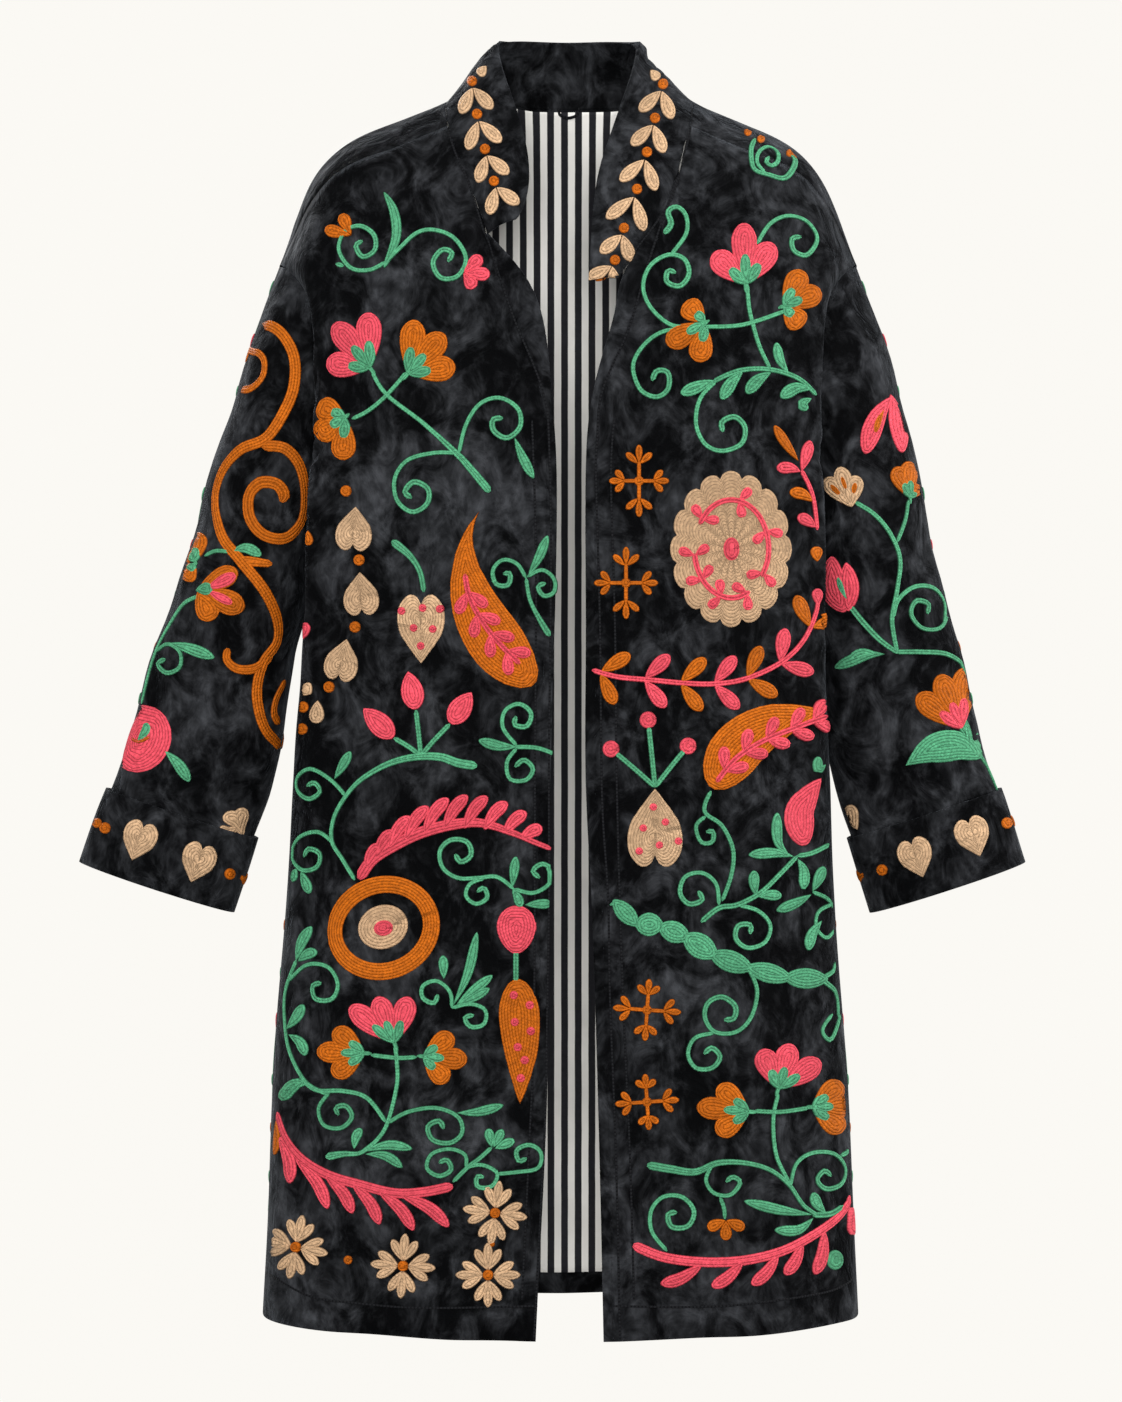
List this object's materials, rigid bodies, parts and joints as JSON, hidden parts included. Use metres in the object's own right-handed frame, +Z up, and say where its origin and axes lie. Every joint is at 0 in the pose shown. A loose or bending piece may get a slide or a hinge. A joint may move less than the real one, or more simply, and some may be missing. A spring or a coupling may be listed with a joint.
{
  "type": "embroidered coat",
  "caption": "Open-fronted knee-length velvet coat with standing collar, dropped sleeves and turned cuffs, embroidered with flowers, scrolls and hearts over a striped lining",
  "frame": {"origin": "between the shoulders at the level of the neck point, where the wearer's shoulders carry the coat, half way between front and back", "axes": "+Z up, -Y out of the front of the coat, +X to the viewer's right, which is the wearer's left"},
  "size_m": [0.8561, 0.2579, 1.1607],
  "materials": {
    "velvet": "charcoal black crushed velvet",
    "lining": "off-white plain weave with black upright stripes"
  },
  "bodies": {
    "root": {"back_panel": "velvet", "left_front": "velvet", "right_front": "velvet", "left_band": "velvet", "right_band": "velvet", "collar": "velvet", "left_sleeve": "velvet", "right_sleeve": "velvet", "left_cuff": "velvet", "right_cuff": "velvet", "back_lining": "lining", "left_front_lining": "lining", "right_front_lining": "lining"}
  },
  "joints": []
}
